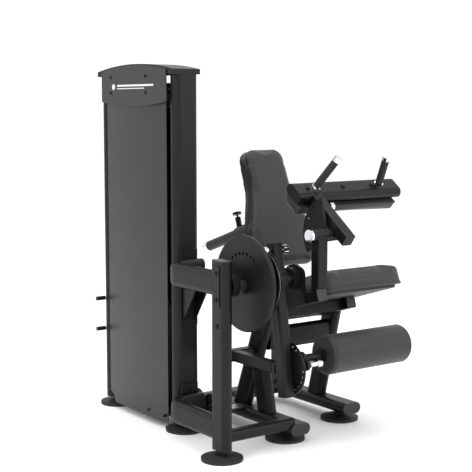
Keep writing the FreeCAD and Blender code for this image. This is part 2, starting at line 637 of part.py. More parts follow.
DISC_Y = (-10.0, 8.0)
ARM_ANGLE = 90 + math.degrees(ARM_LEAN)
disc = y_rod(KNEE_X, KNEE_Z, DISC_Y, DISC_R)
disc = disc.makeChamfer(3, [e for e in disc.Edges if e.Curve.TypeId == "Part::GeomCircle"])
boss_out = y_rod(KNEE_X, KNEE_Z, (DISC_Y[0] - 14, DISC_Y[1] + 30), 42)
disc = fused([disc, boss_out]).cut(y_rod(KNEE_X, KNEE_Z, (-60, 60), SHAFT_R))
for k in range(9):
    hx, hz = turned(KNEE_X, KNEE_Z, PIN_R, ARM_ANGLE - 56 + 12 * k)
    disc = disc.cut(y_rod(hx, hz, DISC_Y, 7.5))
for k in range(4):
    hx, hz = turned(KNEE_X, KNEE_Z, 31, 45 + 90 * k)
    disc = disc.cut(y_rod(hx, hz, (DISC_Y[0] - 14, DISC_Y[0] - 8), 5))
PARTS["range_disc"] = disc

CAM_Y_RANGE = (CAM_Y - 8, CAM_Y + 8)
cam = sector(KNEE_X, KNEE_Z, CAM_Y_RANGE, CAM_PITCH_R + 6, -158, 70)
throat = y_ring(KNEE_X, KNEE_Z, (CAM_Y - 3.5, CAM_Y + 3.5), CAM_PITCH_R + 8, CAM_PITCH_R)
groove = Part.makeTorus(CAM_PITCH_R, 3.5, V(KNEE_X, CAM_Y, KNEE_Z), Y_DIR)
cam = fused([cam.cut([throat, groove]), y_rod(KNEE_X, KNEE_Z, (CAM_Y - 22, CAM_Y + 22), 46)])
PARTS["cable_cam"] = cam.cut(y_rod(KNEE_X, KNEE_Z, (0, 120), SHAFT_R))

BEARING_R = 46.0
post_bearing = y_ring(KNEE_X, KNEE_Z, (-89, -54), BEARING_R, SHAFT_R + FIT)
side_bearing = y_ring(KNEE_X, KNEE_Z, (216, 250), BEARING_R, SHAFT_R + FIT)
bracket_corners = [(376, 560, 6), (506, 600, 6), (500, 742, 30), (KNEE_X, 762, 40), (382, 742, 30)]
bearing_plate = side_plate(bracket_corners, 250, 12).cut(y_rod(KNEE_X, KNEE_Z, (240, 270), 22))
clamp_plate = side_plate([(420, 620, 6), (462, 620, 6), (462, 784, 6), (420, 784, 6)], -143, 4)
PARTS["knee_bearings"] = group([post_bearing, side_bearing, bearing_plate, clamp_plate])

# ---- movement arm ----------------------------------------------------------------------
def arm_point(down, y=STOP_Y):
    """Point on the arm's middle line, measured down from the knee axis."""
    return V(KNEE_X + math.sin(ARM_LEAN) * down, y, KNEE_Z - math.cos(ARM_LEAN) * down)


HUB_Y = (128.0, 192.0)
arm = closed_tube(arm_point(-150), arm_point(478), 60, ARM_Y[1] - ARM_Y[0], X_DIR, 10)
hub = y_rod(KNEE_X, KNEE_Z, HUB_Y, 40)
arm = fused([arm, hub]).cut(y_rod(KNEE_X, KNEE_Z, (100, 220), SHAFT_R + FIT))
pin_x, pin_z = turned(KNEE_X, KNEE_Z, PIN_R, ARM_ANGLE)
arm = arm.cut(y_rod(pin_x, pin_z, (100, 220), 7 + FIT))
crank_pin = y_rod(CRANK_X, CRANK_Z, (ARM_Y[1] - 4, 222), 12)
PARTS["movement_arm"] = arm.cut(y_rod(CRANK_X, CRANK_Z, (ARM_Y[1] - 4, 222), 12))

PARTS["arm_index_pin"] = fused([
    y_rod(pin_x, pin_z, (DISC_Y[1] + 1, 206), 7),
    y_rod(pin_x, pin_z, (102, 120), 17),
    y_rod(pin_x, pin_z, (200, 222), 19)])

CRANK_PLATE_R = 112.0
CRANK_PIN_R = 98.0
crank_sector = sector(CRANK_X, CRANK_Z, (ARM_Y[1], ARM_Y[1] + 8), CRANK_PLATE_R, -75, 80)
crank_sector = fused([crank_sector, y_rod(CRANK_X, CRANK_Z, (ARM_Y[1], ARM_Y[1] + 8), 34)])
CRANK_PIN_ANGLE = 15.0
for k in range(-5, 5):
    hx, hz = turned(CRANK_X, CRANK_Z, CRANK_PIN_R, CRANK_PIN_ANGLE + 14 * k)
    crank_sector = crank_sector.cut(y_rod(hx, hz, (ARM_Y[1], ARM_Y[1] + 8), 6))
crank_sector = crank_sector.cut(y_rod(CRANK_X, CRANK_Z, (ARM_Y[1], 222), 12))
PARTS["roller_index_plate"] = group([crank_sector, crank_pin])

# ---- roller crank and ankle roller -----------------------------------------------------
crank_px, crank_pz = turned(CRANK_X, CRANK_Z, CRANK_PIN_R, CRANK_PIN_ANGLE)
crank_y = (202.0, 214.0)
crank_plate = fused([
    y_rod(CRANK_X, CRANK_Z, crank_y, 30),
    y_rod(ROLLER_X, ROLLER_Z, crank_y, 30),
    y_rod(crank_px, crank_pz, crank_y, 22),
    side_plate([(CRANK_X, CRANK_Z - 28, 0), (crank_px, crank_pz - 20, 0), (crank_px + 14, crank_pz + 12, 0),
                (ROLLER_X, ROLLER_Z + 28, 0), (CRANK_X - 20, CRANK_Z + 18, 0)], crank_y[0], 12)])
crank_plate = crank_plate.cut([y_rod(CRANK_X, CRANK_Z, crank_y, 12 + FIT),
                               y_rod(crank_px, crank_pz, crank_y, 6 + FIT)])
SPINDLE_R = 12.0
PARTS["roller_crank"] = crank_plate.cut(y_rod(ROLLER_X, ROLLER_Z, crank_y, SPINDLE_R))
PARTS["roller_spindle"] = fused([
    y_rod(ROLLER_X, ROLLER_Z, (crank_y[0], ROLLER_Y[1] - 4), SPINDLE_R),
    y_rod(ROLLER_X, ROLLER_Z, (crank_y[1], 308), 17),
    y_rod(ROLLER_X, ROLLER_Z, (308, ROLLER_Y[0] - 0.5), 27)])
PARTS["roller_pin"] = fused([
    y_rod(crank_px, crank_pz, (ARM_Y[1] + 9, 270), 6),
    y_rod(crank_px, crank_pz, (228, 262), 11),
    y_rod(crank_px, crank_pz, (262, 284), 16)])
roller = y_ring(ROLLER_X, ROLLER_Z, ROLLER_Y, ROLLER_R, SPINDLE_R + FIT)
rims = [e for e in roller.Edges if e.Curve.TypeId == "Part::GeomCircle" and abs(e.Curve.Radius - ROLLER_R) < 1]
PARTS["ankle_roller"] = roller.makeFillet(14, rims)

# ---- thigh pad -------------------------------------------------------------------------
PIVOT_Y = (246.0, 345.0)
PIVOT_R = 28.0
THIGH_SHAFT_R = 15.0
thigh_post = tube(V(558, 287, 600), V(558, 287, THIGH_Z), 50, 50, X_DIR, 6)
below_tube = seat_box((-200, 400), (-NEAR_DROP - 150, -NEAR_DROP + 50), (200, 380))
thigh_post = thigh_post.cut([below_tube, y_rod(THIGH_X, THIGH_Z, PIVOT_Y, PIVOT_R)])
thigh_post = max(thigh_post.Solids, key=lambda s: s.Volume)
PARTS["thigh_post"] = group([thigh_post, y_ring(THIGH_X, THIGH_Z, PIVOT_Y, PIVOT_R, THIGH_SHAFT_R + FIT)])

index_plate = sector(THIGH_X, THIGH_Z, (330, 338), THIGH_PIN_R + 18, 104, 214)
index_plate = index_plate.cut(y_rod(THIGH_X, THIGH_Z, (320, 345), PIVOT_R))
for k in range(8):
    hx, hz = turned(THIGH_X, THIGH_Z, THIGH_PIN_R, 116 + 13 * k)
    index_plate = index_plate.cut(y_rod(hx, hz, (330, 338), 6))
PARTS["thigh_index_plate"] = index_plate

LEVER_DIR = V(-math.cos(LEVER_TILT), 0, math.sin(LEVER_TILT))
LEVER_UP = V(math.sin(LEVER_TILT), 0, math.cos(LEVER_TILT))
LEVER_MID_Y = sum(LEVER_Y) / 2
LEVER_OFFSET = 32.0             # pivot to the lever's middle line
BEAM_REACH = 226.0              # pivot to the beam, along the lever
LEVER_TAIL = 79.0
lever_mid = V(THIGH_X, LEVER_MID_Y, THIGH_Z) + LEVER_UP * LEVER_OFFSET
BEAM_MID = lever_mid + LEVER_DIR * BEAM_REACH
BEAM_Y = (285.0, 855.0)
beam_a = V(BEAM_MID.x, BEAM_Y[0], BEAM_MID.z)
beam_b = V(BEAM_MID.x, BEAM_Y[1], BEAM_MID.z)
BEAM_BAR = bar(beam_a, beam_b, OVAL_WIDE, OVAL_DEEP, LEVER_DIR, OVAL_R)

lever = closed_tube(lever_mid - LEVER_DIR * LEVER_TAIL, lever_mid + LEVER_DIR * BEAM_REACH, 50, 50, Y_DIR, 5)
lever = lever.cut(BEAM_BAR)
lever = max(lever.Solids, key=lambda s: s.Volume)
lever_hub = y_rod(THIGH_X, THIGH_Z, LEVER_Y, 27)
lever = fused([lever, lever_hub.cut(bar(lever_mid - LEVER_DIR * 70, lever_mid + LEVER_DIR * 90, 44, 44, Y_DIR, 2))])
thigh_pin_at = lever_mid + LEVER_DIR * math.sqrt(THIGH_PIN_R ** 2 - LEVER_OFFSET ** 2)
lever = lever.cut([y_rod(THIGH_X, THIGH_Z, (340, 410), THIGH_SHAFT_R),
                   y_rod(thigh_pin_at.x, thigh_pin_at.z, (340, 410), 6 + FIT)])
PARTS["thigh_lever"] = lever
PARTS["thigh_shaft"] = fused([
    y_rod(THIGH_X, THIGH_Z, (240, LEVER_Y[1] + 4), THIGH_SHAFT_R),
    y_rod(THIGH_X, THIGH_Z, (234, PIVOT_Y[0] - 0.5), 26)])
PARTS["thigh_pin"] = fused([
    y_rod(thigh_pin_at.x, thigh_pin_at.z, (339, 420), 6),
    y_rod(thigh_pin_at.x, thigh_pin_at.z, (414, 432), 18)])

PAD_Y = (300.0, 842.0)
pad_top = -OVAL_DEEP / 2 - 4


def pad_slab(across, low, high, y, radius):
    """Slab under the beam, in the lever's own frame."""
    corners = [(-across, low, radius), (across, low, radius), (across, high, 1), (-across, high, 1)]
    return slab(corners, V(BEAM_MID.x, y[1], BEAM_MID.z), LEVER_DIR * -1, LEVER_UP, y[1] - y[0])


PARTS["thigh_cushion"] = pad_slab(62, pad_top - 58, pad_top, PAD_Y, 26)
strap = pad_slab(40, pad_top + 0.2, -OVAL_DEEP / 2, (PAD_Y[0] + 30, PAD_Y[1] - 30), 1)
beam = closed_tube(beam_a, beam_b, OVAL_WIDE, OVAL_DEEP, LEVER_DIR, OVAL_R)
beam_bolts = [bolt(V(BEAM_MID.x, y, BEAM_MID.z) + LEVER_UP * OVAL_DEEP / 2, LEVER_UP) for y in (352, 545, 708)]
PARTS["thigh_beam"] = group([beam, strap] + beam_bolts)

GRIP_DIR = V(103, 0, 137).normalize()
HANDLE_Y = 185.0
HANDLE_LEAN = 47.0 / 178.0


def handle_axis(side):
    direction = V(GRIP_DIR.x, -side * HANDLE_LEAN, GRIP_DIR.z).normalize()
    base = V(BEAM_MID.x, SEAT_MID_Y + side * HANDLE_Y, BEAM_MID.z)
    return base, direction


def handle_piece(side, low, high, r):
    base, direction = handle_axis(side)
    return rod(base + direction * low, base + direction * high, r).cut(BEAM_BAR)


SIDES = (-1, 1)
rings = [handle_piece(s, 20, 34, 19) for s in SIDES]
ends = [handle_piece(s, 172, 194, 18) for s in SIDES]
PARTS["handle_fittings"] = group(rings + ends)
PARTS["handle_grips"] = group([handle_piece(s, 34, 172, 15.5) for s in SIDES])

# ---- caps and fasteners ----------------------------------------------------------------
CAP_T = 4.0
caps = [
    oval_bar(V(NEAR_RAIL_END, 270, RAIL_Z), V(NEAR_RAIL_END + CAP_T, 270, RAIL_Z), Y_DIR),
    oval_bar(V(FAR_RAIL_END, 665, RAIL_Z), V(FAR_RAIL_END + CAP_T, 665, RAIL_Z), Y_DIR),
    oval_bar(V(POST_X, POST_Y, POST_TOP), V(POST_X, POST_Y, POST_TOP + CAP_T), X_DIR),
    oval_bar(V(CROSS_X, 715, RAIL_Z), V(CROSS_X, 715 + CAP_T, RAIL_Z), X_DIR),
    bar(V(SUPPORT_X, 665, support_z + 25), V(SUPPORT_X, 665, support_z + 29), 50, 50, X_DIR, 8),
]
for z in CONNECTOR_Z:
    caps.append(oval_bar(V(LEG_X, 45, z), V(LEG_X, 45 + CAP_T, z), Z_DIR))
for back, up, y in ((NEAR_SIDE_FROM, -NEAR_DROP + 25, 287), (430, -NEAR_DROP + 25, 287), (FAR_SIDE_FROM, -FAR_DROP + 25, 665),
                    (440, -FAR_DROP + 25, 665)):
    step = -CAP_T if back in (NEAR_SIDE_FROM, FAR_SIDE_FROM) else CAP_T
    caps.append(bar(seat_point(back, up, y), seat_point(back + step, up, y), 50, 50, Y_DIR, 6))
PARTS["tube_end_caps"] = group(caps)


bolts = [bolt(V(POST_X, -143, z), V(0, -1, 0)) for z in (755, 649)]
bolts.append(bolt(V(POST_X, -139, 543), V(0, -1, 0)))
bolts += [bolt(V(FLANGE_X[1], 0, z), X_DIR) for z in (500, 195)]
bolts += [bolt(V(x, -79, z), V(0, -1, 0), 8, 4) for x in (-480, -180) for z in (1535, 1465)]
bolts += [bolt(V(x, -66, 60), V(0, -1, 0), 7, 10).cut(PARTS["outer_cover"]) for x in (-190, -60)]
bolts += [bolt(V(KNEE_X + dx, 250, KNEE_Z + dz), V(0, -1, 0), 7, 6) for dx, dz in ((-50, -48), (50, -48))]
PARTS["frame_bolts"] = group(bolts)

guide_axle = y_rod(guide_x, guide_z, (60, 255), AXLE_R)
floor_axle = y_rod(LOW_PULLEY_X[0], LOW_PULLEY_Z, (60, 110), AXLE_R)
base_axle = y_rod(LOW_PULLEY_X[1], LOW_PULLEY_Z, (60, 92), AXLE_R)
guide_spacer = y_ring(guide_x, guide_z, (CAM_Y + 9, 255), 14, AXLE_R)
floor_ear = side_plate([(LOW_PULLEY_X[0] - 30, 90, 0), (LOW_PULLEY_X[0] + 30, 90, 0),
                        (LOW_PULLEY_X[0] + 18, 150, 14), (LOW_PULLEY_X[0] - 18, 150, 14)], 98, 6)
floor_ear = floor_ear.cut(y_rod(*(LOW_PULLEY_X[0], LOW_PULLEY_Z), (90, 110), AXLE_R))
floor_plate = box((LOW_PULLEY_X[0] - 30, LOW_PULLEY_X[0] + 30), (104, 250), (90, 96))
base_axle = base_axle.cut(bar(V(0, 0, 40), V(0, 0, 200), COLUMN_WIDE, COLUMN_DEEP, Y_DIR, 29.99))
top_ears = []
for x in TOP_PULLEY_X:
    for y in (-16.0, 10.0):
        ear = side_plate([(x - 26, TOP_BEAM_Z[1], 0), (x + 26, TOP_BEAM_Z[1], 0),
                          (x + 16, TOP_PULLEY_Z + 18, 14), (x - 16, TOP_PULLEY_Z + 18, 14)], y, 6)
        top_ears.append(ear.cut(y_rod(x, TOP_PULLEY_Z, (-30, 30), AXLE_R)))
    top_ears.append(y_rod(x, TOP_PULLEY_Z, (-20, 20), AXLE_R))
PARTS["pulley_brackets"] = group(
    [guide_axle, guide_spacer, floor_axle, floor_ear, floor_plate, base_axle] + top_ears)

# ---- move to the reference point and write ---------------------------------------------
whole = Part.makeCompound(list(PARTS.values())).BoundBox
SHIFT = V(-(whole.XMin + whole.XMax) / 2, -(whole.YMin + whole.YMax) / 2, -whole.ZMin)

os.makedirs("parts", exist_ok=True)
for name, shape in PARTS.items():
    moved = shape.copy()
    moved.translate(SHIFT)
    moved.exportStep("parts/" + name + ".step")
print(len(PARTS), "parts; size", round(whole.XLength), round(whole.YLength), round(whole.ZLength))
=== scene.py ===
import json
import math

import bmesh
import bpy
from mathutils import Matrix, Vector


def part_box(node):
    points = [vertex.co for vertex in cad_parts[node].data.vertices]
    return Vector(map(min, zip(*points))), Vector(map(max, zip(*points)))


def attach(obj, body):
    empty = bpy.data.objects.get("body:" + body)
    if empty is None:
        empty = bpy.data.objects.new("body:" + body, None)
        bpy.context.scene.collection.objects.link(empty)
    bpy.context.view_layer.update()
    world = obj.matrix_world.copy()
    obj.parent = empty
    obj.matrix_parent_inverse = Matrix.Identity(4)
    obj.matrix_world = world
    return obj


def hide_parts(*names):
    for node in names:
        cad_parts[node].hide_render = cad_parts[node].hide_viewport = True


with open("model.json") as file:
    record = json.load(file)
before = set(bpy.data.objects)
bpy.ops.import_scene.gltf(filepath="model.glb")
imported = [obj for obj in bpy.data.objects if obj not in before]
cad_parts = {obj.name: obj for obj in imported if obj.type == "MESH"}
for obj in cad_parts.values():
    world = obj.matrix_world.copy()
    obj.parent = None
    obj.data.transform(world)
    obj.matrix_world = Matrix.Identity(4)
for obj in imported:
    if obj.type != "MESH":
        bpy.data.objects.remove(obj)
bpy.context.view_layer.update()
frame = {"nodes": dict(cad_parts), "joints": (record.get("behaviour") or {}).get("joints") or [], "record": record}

# ---- sizes in metres, shares and counts --------------------------------------------------
MM = 0.001
DOUBLES = 0.01 * MM             # vertices nearer than this are one
PAD_VOXEL = 5 * MM
PAD_PRESSURE = 4.0
PAD_FRAMES = 20
RELAX_PASSES = 7
BOARD_LAYER = 6 * MM            # layer of a cushion that its board holds
WELT_R = 1.5 * MM
WELT_AT = 0.14                  # share of a cushion's depth, from its board
ROLLER_CORE = 40 * MM           # radius of the roller's foam that stays put
SEAM_IN = 16 * MM               # from each end of the roller
SCREW_RIM = 0.35                # height of the upright rim against the head's height
SCREW_DOME = ((0.30, 0.93), (0.20, 0.80), (0.15, 0.62))     # rise and narrowing of each step
SCREW_LIP = 0.08                # flat ring round the recess against the head's radius
SCREW_SOCKET = 0.55             # depth of the recess against the head's height
PLATE_STEP = 5                  # weight of one plate in the numbering
NUMBER_SIZE = 15 * MM
NUMBER_ASIDE = 28 * MM          # from the middle of a plate towards the back
GRIP_RIBS = 16
GRIP_GROOVE_R = 15.7 * MM
GRIP_RIB_R = 16.7 * MM
CAMERA_AT = Vector((4.0505, -2.9826, 1.4))
CAMERA_WAY = Vector((-0.8045, 0.5832, -0.1126))
CAMERA_LENS = 86.4              # on a 36 mm sensor


# ---- helpers -----------------------------------------------------------------------------
def colour(code):
    """sRGB hex to the linear colour that a shader takes."""
    channels = [int(code[i:i + 2], 16) / 255 for i in (1, 3, 5)]
    linear = [c / 12.92 if c <= 0.04045 else ((c + 0.055) / 1.055) ** 2.4 for c in channels]
    return (*linear, 1.0)


def per_mm(size):
    """Texture scale that makes one feature of a pattern size millimetres wide."""
    return 1000.0 / size


def add(tree, kind, settings=None, inputs=None):
    """Adds a node; an input is either a value or the socket that feeds it."""
    made = tree.nodes.new(kind)
    for key, value in (settings or {}).items():
        setattr(made, key, value)
    for key, value in (inputs or {}).items():
        if isinstance(value, bpy.types.NodeSocket):
            tree.links.new(value, made.inputs[key])
        else:
            made.inputs[key].default_value = value
    return made


def new_material(name):
    """An empty material and its node tree."""
    made = bpy.data.materials.new(name)
    made.use_nodes = True
    made.node_tree.nodes.clear()
    return made, made.node_tree


def close_material(tree, shader):
    """Joins the finished shader to the material's output."""
    add(tree, "ShaderNodeOutputMaterial", None, {"Surface": shader.outputs[0]})


def coords(tree):
    """Object coordinates, which stay on the piece as it moves."""
    return add(tree, "ShaderNodeTexCoord").outputs["Object"]


def blotch(tree, where, size, dark, light):
    """Two near colours drifting into each other over patches of the given size."""
    cloud = add(tree, "ShaderNodeTexNoise", None, {"Vector": where, "Scale": per_mm(size), "Detail": 3.0})
    mixed = add(tree, "ShaderNodeMix", {"data_type": "RGBA"}, {"Factor": cloud.outputs["Fac"]})
    mixed.inputs["A"].default_value = colour(dark)
    mixed.inputs["B"].default_value = colour(light)
    return mixed.outputs["Result"]


def uneven(tree, where, size, low, high):
    """A value between low and high that drifts over patches of the given size."""
    cloud = add(tree, "ShaderNodeTexNoise", None, {"Vector": where, "Scale": per_mm(size), "Detail": 4.0})
    spread = add(tree, "ShaderNodeMapRange", None, {
        "Value": cloud.outputs["Fac"], "To Min": low, "To Max": high})
    return spread.outputs["Result"]


# ---- materials ---------------------------------------------------------------------------
def powder_coat():
    """Black textured powder coat on steel tube: even grit, coarser than life to show, and soft highlights."""
    made, tree = new_material("black_powder_coat")
    where = coords(tree)
    grit = add(tree, "ShaderNodeTexNoise", None, {"Vector": where, "Scale": per_mm(1.6), "Detail": 2.0})
    bump = add(tree, "ShaderNodeBump", None, {
        "Height": grit.outputs["Fac"], "Strength": 0.22, "Distance": 0.3 * MM})
    shader = add(tree, "ShaderNodeBsdfPrincipled", None, {
        "Base Color": blotch(tree, where, 90, "#090a0b", "#0f1011"),
        "Roughness": uneven(tree, where, 40, 0.36, 0.46), "Specular IOR Level": 0.25,
        "Normal": bump.outputs["Normal"]})
    close_material(tree, shader)
    return made


def cover_paint():
    """Satin charcoal paint on a sheet steel cover: smoother than the tubes, with faint orange peel."""
    made, tree = new_material("charcoal_sheet_paint")
    where = coords(tree)
    peel = add(tree, "ShaderNodeTexNoise", None, {"Vector": where, "Scale": per_mm(5), "Detail": 1.0})
    bump = add(tree, "ShaderNodeBump", None, {
        "Height": peel.outputs["Fac"], "Strength": 0.10, "Distance": 0.3 * MM})
    shader = add(tree, "ShaderNodeBsdfPrincipled", None, {
        "Base Color": blotch(tree, where, 240, "#141517", "#191a1c"),
        "Roughness": uneven(tree, where, 120, 0.36, 0.44), "Normal": bump.outputs["Normal"]})
    close_material(tree, shader)
    return made


def vinyl():
    """Black upholstery vinyl: 2.4 mm pebbles, coarser than life to show, and a dull sheen."""
    made, tree = new_material("black_upholstery_vinyl")
    where = coords(tree)
    pebble = add(tree, "ShaderNodeTexVoronoi", {"feature": "SMOOTH_F1"}, {
        "Vector": where, "Scale": per_mm(2.4), "Smoothness": 0.6})
    crease = add(tree, "ShaderNodeTexNoise", None, {"Vector": where, "Scale": per_mm(22), "Detail": 5.0})
    low = add(tree, "ShaderNodeBump", None, {
        "Height": crease.outputs["Fac"], "Strength": 0.25, "Distance": 1.2 * MM})
    bump = add(tree, "ShaderNodeBump", {"invert": True}, {
        "Height": pebble.outputs["Distance"], "Strength": 0.30, "Distance": 0.5 * MM,
        "Normal": low.outputs["Normal"]})
    shader = add(tree, "ShaderNodeBsdfPrincipled", None, {
        "Base Color": blotch(tree, where, 60, "#0e0f10", "#131415"),
        "Roughness": uneven(tree, where, 30, 0.46, 0.58), "Normal": bump.outputs["Normal"],
        "Sheen Weight": 0.12, "Sheen Roughness": 0.5})
    close_material(tree, shader)
    return made


def moulded(name, dark, light, roughness, grain, depth):
    """Moulded plastic or rubber: even colour, fine spark-eroded texture."""
    made, tree = new_material(name)
    where = coords(tree)
    texture = add(tree, "ShaderNodeTexNoise", None, {"Vector": where, "Scale": per_mm(grain), "Detail": 3.0})
    bump = add(tree, "ShaderNodeBump", None, {
        "Height": texture.outputs["Fac"], "Strength": depth, "Distance": 0.3 * MM})
    shader = add(tree, "ShaderNodeBsdfPrincipled", None, {
        "Base Color": blotch(tree, where, 25, dark, light),
        "Roughness": uneven(tree, where, 18, roughness - 0.05, roughness + 0.05),
        "Normal": bump.outputs["Normal"]})
    close_material(tree, shader)
    return made


def chrome():
    """Bright chrome plate: mirror sharp with a trace of polishing haze."""
    made, tree = new_material("chrome_plate")
    where = coords(tree)
    shader = add(tree, "ShaderNodeBsdfPrincipled", None, {
        "Base Color": blotch(tree, where, 12, "#d4d6d9", "#dfe1e3"), "Metallic": 1.0,
        "Roughness": uneven(tree, where, 8, 0.07, 0.15)})
    close_material(tree, shader)
    return made


def zinc_steel():
    """Zinc plated steel of brackets, selector stem and wire rope: grey, with fine turning marks."""
    made, tree = new_material("zinc_plated_steel")
    where = coords(tree)
    lines = add(tree, "ShaderNodeTexWave", {"bands_direction": "DIAGONAL"}, {
        "Vector": where, "Scale": per_mm(14), "Distortion": 0.6, "Detail": 2.0})
    bump = add(tree, "ShaderNodeBump", None, {
        "Height": lines.outputs["Fac"], "Strength": 0.2, "Distance": 0.2 * MM})
    shader = add(tree, "ShaderNodeBsdfPrincipled", None, {
        "Base Color": blotch(tree, where, 15, "#7d8085", "#94979b"), "Metallic": 1.0,
        "Roughness": uneven(tree, where, 10, 0.28, 0.42), "Normal": bump.outputs["Normal"]})
    close_material(tree, shader)
    return made


def cast_iron():
    """Painted cast iron weight plate: pitted sand-cast skin under black enamel."""
    made, tree = new_material("enamelled_cast_iron")
    where = coords(tree)
    pits = add(tree, "ShaderNodeTexNoise", None, {"Vector": where, "Scale": per_mm(6), "Detail": 6.0})
    bump = add(tree, "ShaderNodeBump", None, {
        "Height": pits.outputs["Fac"], "Strength": 0.45, "Distance": 0.6 * MM})
    shader = add(tree, "ShaderNodeBsdfPrincipled", None, {
        "Base Color": blotch(tree, where, 35, "#141516", "#202123"),
        "Roughness": uneven(tree, where, 20, 0.42, 0.6), "Normal": bump.outputs["Normal"]})
    close_material(tree, shader)
    return made


FINISHES = {
    "powder_coat": powder_coat(),
    "cover_paint": cover_paint(),
    "black_vinyl": vinyl(),
    "pad_board": moulded("black_abs_board", "#101112", "#151617", 0.55, 1.8, 0.2),
    "black_plastic": moulded("black_nylon", "#0f1011", "#141516", 0.42, 1.5, 0.12),
    "rubber": moulded("black_rubber", "#0d0e0f", "#141415", 0.68, 2.2, 0.3),
    "chrome": chrome(),
    "steel": zinc_steel(),
    "cast_plate": cast_iron(),
    "white_print": moulded("white_screen_print", "#c9cbcd", "#d3d5d6", 0.5, 2.0, 0.05),
}
SLOT_OF = {row["node"]: row["material_slot"] for row in frame["record"]["subparts"]}
for node, piece in frame["nodes"].items():
    for place in piece.material_slots:
        place.material = FINISHES[SLOT_OF[node]]
    if not piece.material_slots:
        piece.data.materials.append(FINISHES[SLOT_OF[node]])
BODY_OF = {node: body for body, nodes in frame["record"]["behaviour"]["bodies"].items() for node in nodes}


# ---- mesh helpers ------------------------------------------------------------------------
def object_from(bm, name, finish, smooth_angle=35):
    """Closes a bmesh into an object of one finish, with edges over smooth_angle degrees kept sharp."""
    bmesh.ops.recalc_face_normals(bm, faces=bm.faces)
    mesh = bpy.data.meshes.new(name)
    bm.to_mesh(mesh)
    bm.free()
    made = bpy.data.objects.new(name, mesh)
    bpy.context.scene.collection.objects.link(made)
    mesh.materials.append(FINISHES[finish])
    mesh.shade_smooth()
    mesh.set_sharp_from_angle(angle=math.radians(smooth_angle))
    return made


def put(made, body, replaced=()):
    """Rides a piece on its body and hides the CAD nodes that it replaces. White print has no
    slot of its own and goes under cover_paint.
    """
    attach(made, body)
    if replaced:
        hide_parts(*replaced)


def islands(node):
    """Lowest and highest corners of each separate solid of a CAD node."""
    bm = bmesh.new()
    bm.from_mesh(frame["nodes"][node].data)
    bmesh.ops.remove_doubles(bm, verts=bm.verts, dist=DOUBLES)
    left = set(bm.verts)
    found = []
    while left:
        seed = left.pop()
        group = {seed}
        edge = [seed]
        while edge:
            here = edge.pop()
            for link in here.link_edges:
                other = link.other_vert(here)
                if other in left:
                    left.remove(other)
                    group.add(other)
                    edge.append(other)
        low = Vector(min(v.co[i] for v in group) for i in range(3))
        high = Vector(max(v.co[i] for v in group) for i in range(3))
        found.append((low, high))
    bm.free()
    return sorted(found, key=lambda pair: tuple(round(c, 4) for c in pair[0]))


def turn_to(way):
    """Rotation that takes +Z to a direction."""
    return way.normalized().to_track_quat("Z", "Y").to_matrix().to_4x4()


def add_prism(bm, at, way, radius, length, sides=32, top=None):
    """Prism or cone frustum from at, length along way."""
    place = Matrix.Translation(at + way.normalized() * length / 2) @ turn_to(way)
    bmesh.ops.create_cone(bm, cap_ends=True, segments=sides, radius1=radius,
                          radius2=radius if top is None else top, depth=length, matrix=place)


def add_button_screw(bm, at, way, radius, height):
    """Domed screw head with a round recess."""
    part = bmesh.new()
    add_prism(part, Vector(), Vector((0, 0, 1)), radius, height * SCREW_RIM, 36)
    top = max(part.faces, key=lambda f: f.calc_center_median().z)
    for rise, scale in SCREW_DOME:
        grown = bmesh.ops.extrude_face_region(part, geom=[top])["geom"]
        verts = [v for v in grown if isinstance(v, bmesh.types.BMVert)]
        bmesh.ops.translate(part, verts=verts, vec=(0, 0, height * rise))
        middle = sum((v.co for v in verts), Vector()) / len(verts)
        bmesh.ops.scale(part, verts=verts, vec=(scale, scale, 1), space=Matrix.Translation(-middle))
        bmesh.ops.delete(part, geom=[top], context="FACES_ONLY")
        top = next(f for f in grown if isinstance(f, bmesh.types.BMFace))
    grown = bmesh.ops.inset_region(part, faces=[top], thickness=radius * SCREW_LIP, depth=0.0)
    down = bmesh.ops.extrude_face_region(part, geom=[top])["geom"]
    verts = [v for v in down if isinstance(v, bmesh.types.BMVert)]
    bmesh.ops.translate(part, verts=verts, vec=(0, 0, -height * SCREW_SOCKET))
    bmesh.ops.delete(part, geom=[top], context="FACES_ONLY")
    bmesh.ops.recalc_face_normals(part, faces=part.faces)
    bmesh.ops.transform(part, matrix=Matrix.Translation(at) @ turn_to(way), verts=part.verts)
    held = bpy.data.meshes.new("held")
    part.to_mesh(held)
    part.free()
    bm.from_mesh(held)
    bpy.data.meshes.remove(held)


# ---- screws, nuts, caps, marks and grips -------------------------------------------------
def frame_screws():
    """Blackened button head screws for the plain heads; each faces the way its head is thin."""
    bm = bmesh.new()
    for low, high in islands("frame_bolts"):
        size = high - low
        middle = (low + high) / 2
        thin = min(range(3), key=lambda i: size[i])
        if thin == 0:
            at, way = Vector((low.x, middle.y, middle.z)), Vector((1, 0, 0))
        else:
            at, way = Vector((middle.x, high.y, middle.z)), Vector((0, -1, 0))
        add_button_screw(bm, at, way, size[2] / 2, size[thin])
    put(object_from(bm, "button_screws", "powder_coat"), "frame", ["frame_bolts"])


def foot_nuts():
    """Blackened lock nut and washer on the stem of each levelling foot."""
    nut_r = 27 * MM
    nut = 8 * MM
    washer_r = 29 * MM
    washer = 2.5 * MM
    below_top = 14 * MM
    bm = bmesh.new()
    up = Vector((0, 0, 1))
    for low, high in islands("floor_feet"):
        middle = (low + high) / 2
        at = Vector((middle.x, middle.y, high.z - below_top))
        add_prism(bm, at, up, nut_r, nut, 6)
        add_prism(bm, at - up * washer, up, washer_r, washer, 40)
    put(object_from(bm, "foot_lock_nuts", "powder_coat"), "frame")


